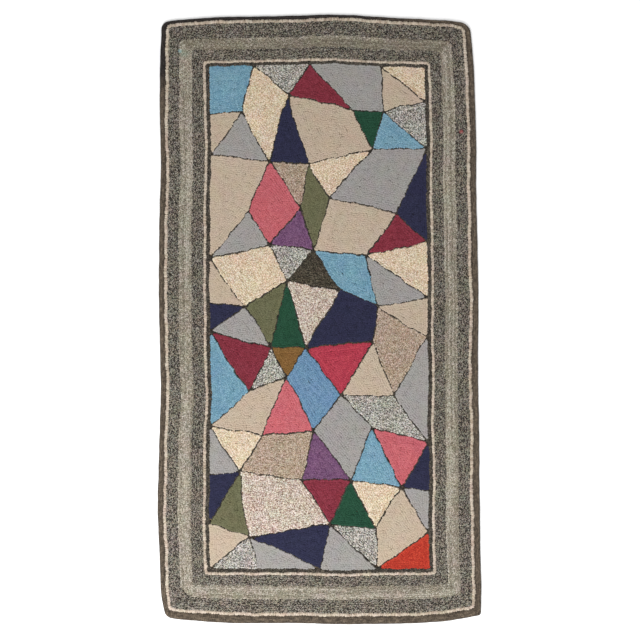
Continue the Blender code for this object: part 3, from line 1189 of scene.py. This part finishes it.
def grow(name, yarn, loops, seed):
    """The loops of one piece of the pile, as one plain mesh."""
    points = points_object(name, loops, yarn_named[yarn], seed)
    modifier = points.modifiers.new("loops", "NODES")
    modifier.node_group = pile_tree
    values = {
        "Loop": edge_loop if name == "outer_light_row" else packed_loop,
        "Turn Spread": TURN_SPREAD,
        "Size Spread": SINGLE_ROW_SPREADS.get(name, SIZE_SPREAD),
        "Seed": seed,
        "Wool": wools[yarn],
    }
    set_inputs(modifier, values)
    evaluated = points.evaluated_get(bpy.context.evaluated_depsgraph_get())
    data = bpy.data.meshes.new_from_object(evaluated)
    data.name = name
    bpy.data.objects.remove(points, do_unlink=True)
    map_from_above(data)
    piece = add_object(name, data)
    keep_as_cloth(piece, "hooked_rug")
    return piece


def triangle_count(piece):
    """How many triangles a piece's mesh holds."""
    piece.data.calc_loop_triangles()
    return len(piece.data.loop_triangles)


pile_pieces = []
for seed, ((name, yarn), loops) in enumerate(sorted(pile.items())):
    pile_pieces.append(grow(name, yarn, loops, seed))
    print(name, len(loops.places), "loops,", triangle_count(pile_pieces[-1]), "triangles")
for loop in (packed_loop, edge_loop):
    bpy.data.objects.remove(loop, do_unlink=True)
print(sum(triangle_count(piece) for piece in pile_pieces), "triangles of pile")

# %% [markdown]
# ## Hessian and tape
#
# The cloth under the pile is coarse hessian. It lies flat, and rises at its hem onto the tape that
# is folded under it. The tape is a narrow cotton twill, folded over the hem all the way round. Both
# are skins through rings that run round the rug, which is the plainest way to make a strip whose
# width changes from side to side.

# %% Rings round the rug, joined into a closed skin
ARC_STEPS = 6
TWILL = 2.0 * MM
ROUND = TWILL * round(2 * (WIDTH + LENGTH) / TWILL)
Ring = namedtuple("Ring", "inset depth height")


def ring_places(ring, steps):
    """Places along one ring, in so many steps to each side and each end."""
    radii = [max(radius - ring.depth, 3 * MM) for radius in TAPE_CORNERS]
    arcs = rounded_path(ring.inset, radii, ARC_STEPS).reshape(4, ARC_STEPS + 1, 2)
    places = []
    for i, count in enumerate([*steps, *steps]):
        share = np.arange(1, count)[:, None] / count
        start = arcs[i - 1][-1]
        places.extend(start + (arcs[i][0] - start) * share)
        places.extend(arcs[i])
    return np.array(places)


def even_inset(distance):
    """The same distance in from every edge."""
    return Inset(distance, distance, distance, distance)


def tape_inset(share, extra=0.0):
    """A share of the way across the tape that shows, and a little further."""
    return Inset(*[share * side + extra for side in TAPE_SHOWS])


def join_rings(name, rings_of_places, closed, material):
    """A mesh object through rings of places; a skin that isn't closed on itself is capped.

    Its flat map, "weave", is in metres: along the rings, and across from one ring to the next.
    """
    steps = [np.linalg.norm(b - a, axis=1).mean() for a, b in zip(rings_of_places, rings_of_places[1:])]
    across = np.concatenate([[0.0], np.cumsum(steps + [steps[0]])])
    mesh = bmesh.new()
    weave = mesh.loops.layers.uv.new("weave")
    rings = [[mesh.verts.new(place) for place in places] for places in rings_of_places]
    followers = rings[1:] + rings[:1] if closed else rings[1:]
    for row, (first, second) in enumerate(zip(rings, followers)):
        count = len(first)
        for i in range(count):
            j = (i + 1) % count
            face = mesh.faces.new((first[i], second[i], second[j], first[j]))
            start, end = ROUND * i / count, ROUND * (i + 1) / count
            spots = [(start, row), (start, row + 1), (end, row + 1), (end, row)]
            for corner, (far, number) in zip(face.loops, spots):
                corner[weave].uv = (far, across[number])
    if not closed:
        mesh.faces.new(rings[0])
        mesh.faces.new(rings[-1])
    bmesh.ops.triangulate(mesh, faces=[face for face in mesh.faces if len(face.verts) > 4])
    bmesh.ops.recalc_face_normals(mesh, faces=mesh.faces)
    skin = object_of(mesh, name)
    skin.data.shade_smooth()
    skin.data.materials.append(material)
    return skin


# %% Hessian
THREAD = 2.4 * MM
WAVE_UNIT = math.pi / 10
BRICK = 0.2
STITCH = {
    "Scale": BRICK / LOOP_PITCH,
    "Brick Width": BRICK,
    "Row Height": BRICK * ROW_PITCH / LOOP_PITCH,
    "Mortar Size": 0.022,
    "Mortar Smooth": 1.0,
    "Color1": linear("#ffffff"),
    "Color2": linear("#c8c8c8"),
    "Mortar": linear("#909090"),
}
STITCH_BOW = 9 * MM
BOW_REACH = 3 * MM
STITCH_FIBRES = (1 / (3 * MM), 1 / (0.8 * MM), 1.0)
STITCH_SHADE = (0.6, 1.3)


def woven(tree, place):
    """The colour and the height of plain woven jute threads."""
    waves = {}
    for i, axis in enumerate("XY"):
        settings = {"bands_direction": axis, "Scale": WAVE_UNIT / THREAD, "Distortion": 1.0}
        waves[i] = add_node(tree, "ShaderNodeTexWave", settings, {"Vector": place}).outputs["Fac"]
    weave = add_node(tree, "ShaderNodeMath", {"operation": "MULTIPLY"}, waves)
    ramp = add_node(tree, "ShaderNodeValToRGB", links={"Fac": weave})
    set_ramp(ramp, [(0.0, "#5f4d36"), (1.0, "#b89d76")])
    return ramp, weave


def stitched(tree):
    """Short flat stitches in rows: their colour, and where they cover the cloth."""
    rows = add_node(tree, "ShaderNodeUVMap", {"uv_map": "rows"})
    bow = add_node(tree, "ShaderNodeTexNoise", {"Scale": 1 / STITCH_BOW, "Detail": 1.0}, {"Vector": rows})
    settings = {"operation": "MULTIPLY_ADD", 1: [BOW_REACH] * 3}
    swaying = add_node(tree, "ShaderNodeVectorMath", settings, {0: bow.outputs["Color"], 2: rows})
    bricks = add_node(tree, "ShaderNodeTexBrick", STITCH, {"Vector": swaying})
    yarn = add_node(tree, "ShaderNodeAttribute", {"attribute_name": "yarn"}).outputs
    links = {0: yarn["Color"], 1: bricks}
    colour = add_node(tree, "ShaderNodeVectorMath", {"operation": "MULTIPLY"}, links)
    fibres = fibrous(tree, swaying, STITCH_FIBRES)
    bare = add_node(tree, "ShaderNodeMath", {"operation": "SUBTRACT", 0: 1.0}, {1: bricks.outputs["Fac"]})
    cover = add_node(tree, "ShaderNodeMath", {"operation": "MULTIPLY"}, {0: bare, 1: yarn["Alpha"]})
    return shaded(tree, colour, [(fibres, NOISE_RANGE, STITCH_SHADE)]), cover


def hessian():
    """Jute hessian, plain woven: pale brown threads that cross over and under.

    Its threads are 1.6 mm apart on the real cloth, and drawn half as coarse again so that they show.
    On its back the wool of the pile lies over the threads in flat stitches.
    """
    material, tree, place = matt_cloth("jute_hessian", 0.95, 0.1)
    jute, threads = woven(tree, place)
    stitches, cover = stitched(tree)
    links = {"Fac": cover, "Color1": jute, "Color2": stitches}
    colour = add_node(tree, "ShaderNodeMixRGB", links=links)
    finish(tree, colour, [(threads, 0.5 * MM, 0.8), (cover, 0.8 * MM, 0.8)])
    return material


# %% The foundation cloth
TAPE_THICKNESS = 1.2 * MM
TAPE_UNDER = 22 * MM
GAP = 0.3 * MM
HEM_BOTTOM = TAPE_THICKNESS + GAP
CLOTH_THICKNESS = 1.7 * MM
CLOTH_RINGS = [
    Ring(even_inset(TAPE_UNDER + 2 * MM), TAPE_UNDER, 0.0),
    Ring(even_inset(TAPE_UNDER + GAP), TAPE_UNDER, HEM_BOTTOM),
    Ring(even_inset(HEM_BOTTOM), HEM_BOTTOM, HEM_BOTTOM),
    Ring(even_inset(HEM_BOTTOM), HEM_BOTTOM, HEM_BOTTOM + CLOTH_THICKNESS),
    Ring(tape_inset(1.0, 2 * MM), 20 * MM, HEM_BOTTOM + CLOTH_THICKNESS),
]
CLOTH_STEPS = (80, 44)
TAPE_STRAY = 0.35


def flat_ring(ring, steps):
    """A ring's places on the rug, all at its own height."""
    places = laid(ring_places(ring, steps), TAPE_STRAY)
    return np.column_stack([places, np.full(len(places), ring.height)])


cloth_rings = [flat_ring(ring, CLOTH_STEPS) for ring in CLOTH_RINGS]
cloth = join_rings("foundation_cloth", cloth_rings, False, hessian())
keep_as_cloth(cloth, "hooked_rug")

# %% [markdown]
# On the back of the rug every row of the pile shows again, as a line of short flat stitches in the
# hessian. So the cloth's underside is cut along the edges of the bands and of the patches. Each of
# its faces carries the colour of its yarn, and a flat map that says which way its rows run.

# %% Outlines on the back of the rug
BACK_STEP = 26 * MM
Region = namedtuple("Region", "outline yarn turn")


def subdivided(path):
    """A closed path with places added where its own are far apart."""
    places = []
    for start, side in zip(path, sides_of(path)):
        count = math.ceil(np.linalg.norm(side) / BACK_STEP)
        places.extend(start + side * np.arange(count)[:, None] / count)
    return np.array(places)


def back_regions():
    """The convex outlines that cut the back, from the outside in, each with its yarn."""
    regions = [Region(ring_places(CLOTH_RINGS[0], CLOTH_STEPS), BANDS[1].yarn, None)]
    for band, inset in zip(BANDS[2:], insets[2:]):
        outline = subdivided(rounded_path(inset, BAND_CORNERS[band.name], 3))
        regions.append(Region(outline, band.yarn, None))
    regions.append(Region(subdivided(corners_of(insets[-1])), "outline_brown", None))
    for ring, yarn in zip(patches, patch_yarns):
        inner = drawn_smaller(hubs[ring], [seam_half[seam] for seam in seams_of(ring)])
        regions.append(Region(subdivided(inner), yarn, angle_of(hubs[ring[1]] - hubs[ring[0]])))
    return regions


def cut_back(regions):
    """The back's triangles, cut along the outlines, and where their corners lie on the rug."""
    flat = np.concatenate([region.outline for region in regions])
    edges = []
    for region in regions:
        first, count = len(edges), len(region.outline)
        edges.extend((first + i, first + (i + 1) % count) for i in range(count))
    found = delaunay_2d_cdt([tuple(place) for place in flat], edges, [], 1, 1e-6)
    places = np.array([tuple(place) for place in found[0]])
    moved = laid(places)
    for new, old in enumerate(found[3]):
        if old and min(old) < len(regions[0].outline):
            moved[new] = cloth_rings[0][min(old), :2]
    return places, moved, np.array([list(face) for face in found[2]])


def lies_within(places, outline):
    """Whether each place lies inside a convex outline that runs anticlockwise."""
    side = sides_of(outline)
    away = places[:, None] - outline
    return (side[:, 0] * away[..., 1] - side[:, 1] * away[..., 0] > -1e-9).all(axis=1)


def back_faces(regions, middles):
    """The yarn of each face of the back, and which way its rows run.

    They run along the rug's nearest edge, or along the first side of a patch.
    """
    turns = np.where(beside_end(middles), 0.0, math.radians(90))
    yarns = np.full(len(middles), regions[0].yarn, object)
    for region in regions:
        within = lies_within(middles, region.outline)
        yarns[within] = region.yarn
        if region.turn is not None:
            turns[within] = region.turn
    return yarns, turns


# %% The stitches of the back
def stitch_back(cloth):
    """Give the cloth a back that shows the stitches of the pile."""
    regions = back_regions()
    places, moved, triangles = cut_back(regions)
    yarns, turns = back_faces(regions, places[triangles].mean(axis=1))
    mesh = bmesh.new()
    mesh.from_mesh(cloth.data)
    old = [face for face in mesh.faces if max(vertex.co.z for vertex in face.verts) < 0.1 * MM]
    bmesh.ops.delete(mesh, geom=old, context="FACES")
    rows = mesh.loops.layers.uv.new("rows")
    dye = mesh.loops.layers.float_color.new("yarn")
    for face in mesh.faces:
        for corner in face.loops:
            corner[dye] = (0.0, 0.0, 0.0, 0.0)
    corners = [mesh.verts.new((x, y, 0.0)) for x, y in moved]
    for triangle, yarn, turn in zip(triangles, yarns, turns):
        face = mesh.faces.new([corners[i] for i in triangle])
        along = pointing(turn)
        for corner, i in zip(face.loops, triangle):
            corner[rows].uv = (moved[i] @ along, moved[i] @ leftward(along))
            corner[dye] = linear(yarn_named[yarn].middle)
    bmesh.ops.remove_doubles(mesh, verts=mesh.verts, dist=0.01 * MM)
    bmesh.ops.recalc_face_normals(mesh, faces=mesh.faces)
    mesh.to_mesh(cloth.data)
    mesh.free()


stitch_back(cloth)
print("cloth:", triangle_count(cloth), "triangles")


# %% The cloth of the tape
DARK_CORNER = (0.27, -1.0, 0.0)
DARK_FROM = (-0.715, -0.80)
BLOTCH = 25 * MM
SPECK = 3.8 * MM
RIB = 5.4 * MM
STREAKS = (1 / (16 * MM), 1 / (4 * MM), 1.0)
TAPE_DYES = [(0.12, "#5f5447"), (0.36, "#52483d"), (0.62, "#3f3730"), (0.95, "#2b2624")]


def tape_dye(tree, place):
    """Uneven brown dye that is nearly black in the far corner."""
    settings = {"operation": "DOT_PRODUCT", 1: DARK_CORNER}
    where = add_node(tree, "ShaderNodeVectorMath", settings, {0: place}).outputs["Value"]
    kept = add_node(tree, "ShaderNodeMapRange", from_to(DARK_FROM, (0.05, 0.85)), {"Value": where})
    blotches = add_node(tree, "ShaderNodeTexNoise", {"Scale": 1 / BLOTCH, "Detail": 4.0}, {"Vector": place})
    settings = {"operation": "MULTIPLY_ADD", 1: 0.5}
    uneven = add_node(tree, "ShaderNodeMath", settings, {0: blotches, 2: kept})
    dye = add_node(tree, "ShaderNodeValToRGB", links={"Fac": uneven})
    set_ramp(dye, TAPE_DYES)
    return dye


def tape_cloth():
    """Cotton twill tape, dyed brown. It has kept its first, nearly black dye in one far corner.

    Its crown is scuffed to a streaked and speckled grey brown, and its stitches draw it into small
    ribs. Its top is painted lighter, and its rolled outer side and its edge under the pile darker, as
    painted light and shade. The twill lines of the real tape are 1 mm apart, and drawn twice as coarse
    so that they show.
    """
    material, tree, place = matt_cloth("cotton_twill_tape", 0.9, 0.08)
    weave = add_node(tree, "ShaderNodeUVMap", {"uv_map": "weave"})
    specks = add_node(tree, "ShaderNodeTexNoise", {"Scale": 1 / SPECK, "Detail": 2.0}, {"Vector": place})
    streaks = fibrous(tree, weave, STREAKS)
    # The crown attribute carries painted light and shade: lighter on the tape's top, darker down its rolled
    # outer side and under the edge of the pile.
    crown = add_node(tree, "ShaderNodeAttribute", {"attribute_name": "crown"}).outputs["Fac"]
    settings = {"bands_direction": "DIAGONAL", "Scale": 2 * WAVE_UNIT / TWILL, "Distortion": 0.8}
    twill = add_node(tree, "ShaderNodeTexWave", settings, {"Vector": weave}).outputs["Fac"]
    settings = {"Scale": WAVE_UNIT / RIB, "Distortion": 3.0, "Detail Scale": 50.0}
    ribs = add_node(tree, "ShaderNodeTexWave", settings, {"Vector": weave}).outputs["Fac"]
    # The crown's shades are painted light and shade.
    shades = [
        (specks, NOISE_RANGE, (0.5, 1.45)),
        (streaks, NOISE_RANGE, (0.45, 1.5)),
        (crown, WHOLE_RANGE, (0.85, 1.1)),
        (twill, WHOLE_RANGE, (0.88, 1.08)),
        (ribs, WHOLE_RANGE, (0.82, 1.14)),
    ]
    reliefs = [(twill, 0.22 * MM, 0.6), (ribs, 0.5 * MM, 0.5), (specks, 0.5 * MM, 0.5)]
    finish(tree, shaded(tree, tape_dye(tree, place), shades), reliefs)
    return material


# %% The tape
# Each row's crown sets the tape's painted light and shade there: low for painted shade on the rolled outer
# side and under the pile, high for painted light on the top.
TapeRow = namedtuple("TapeRow", "share extra depth height crown")
HEM_TOP = HEM_BOTTOM + 2.2 * MM
TAPE_ROWS = [
    TapeRow(0.00, TAPE_UNDER, TAPE_UNDER, 0.0, 0.2),
    TapeRow(0.00, 2.0 * MM, 0.0, 0.0, 0.3),
    TapeRow(0.00, 0.6 * MM, 0.0, 0.8 * MM, 0.2),
    TapeRow(0.00, 0.0, 0.0, 2.3 * MM, 0.0),
    TapeRow(0.00, 0.5 * MM, 0.0, 3.8 * MM, 0.0),
    TapeRow(0.00, 1.6 * MM, 0.0, 4.8 * MM, 0.2),
    TapeRow(0.24, 0.0, 3 * MM, TAPE_TOP, 0.9),
    TapeRow(0.42, 0.0, 5 * MM, TAPE_TOP + 0.3 * MM, 0.9),
    TapeRow(0.60, 0.0, 8 * MM, TAPE_TOP + 0.2 * MM, 0.6),
    TapeRow(0.78, 0.0, 10 * MM, TAPE_TOP - 0.2 * MM, 0.1),
    TapeRow(0.92, 0.0, 12 * MM, TAPE_TOP - 0.7 * MM, -0.4),
    TapeRow(1.00, 3.0 * MM, 16 * MM, TAPE_TOP - 0.9 * MM, -0.5),
    TapeRow(1.00, 3.0 * MM, 16 * MM, HEM_TOP, 0.0),
    TapeRow(0.00, HEM_BOTTOM, HEM_BOTTOM, HEM_TOP, 0.0),
    TapeRow(0.00, TAPE_THICKNESS, HEM_BOTTOM, HEM_BOTTOM, 0.0),
    TapeRow(0.00, TAPE_UNDER, TAPE_UNDER, TAPE_THICKNESS, 0.0),
]
TAPE_STEPS = (330, 176)
STITCH_PITCH = 9 * MM
PUCKER = 0.35 * MM
SAG = 0.15


def tape_ring(row):
    """One ring of the tape. Its top is puckered by the stitches and is never quite even."""
    places = flat_ring(Ring(tape_inset(row.share, row.extra), row.depth, row.height), TAPE_STEPS)
    if row.share > 0:
        along = np.arange(len(places)) / len(places)
        stitches = np.cos(2 * math.pi * along * round(2 * (WIDTH + LENGTH) / STITCH_PITCH))
        slow = strayed(places[:, :2])[:, 0] - places[:, 0]
        places[:, 2] += SAG * slow + PUCKER * row.share * stitches * (row.share < 1)
    return places


tape = join_rings("binding_tape", [tape_ring(row) for row in TAPE_ROWS], True, tape_cloth())
# Each row's crown goes onto its points, for the tape's painted light and shade.
crown = np.repeat([row.crown for row in TAPE_ROWS], len(tape.data.vertices) // len(TAPE_ROWS))
tape.data.attributes.new("crown", "FLOAT", "POINT").data.foreach_set("value", crown)
keep_as_cloth(tape, "edge_binding")
print("tape:", triangle_count(tape), "triangles")
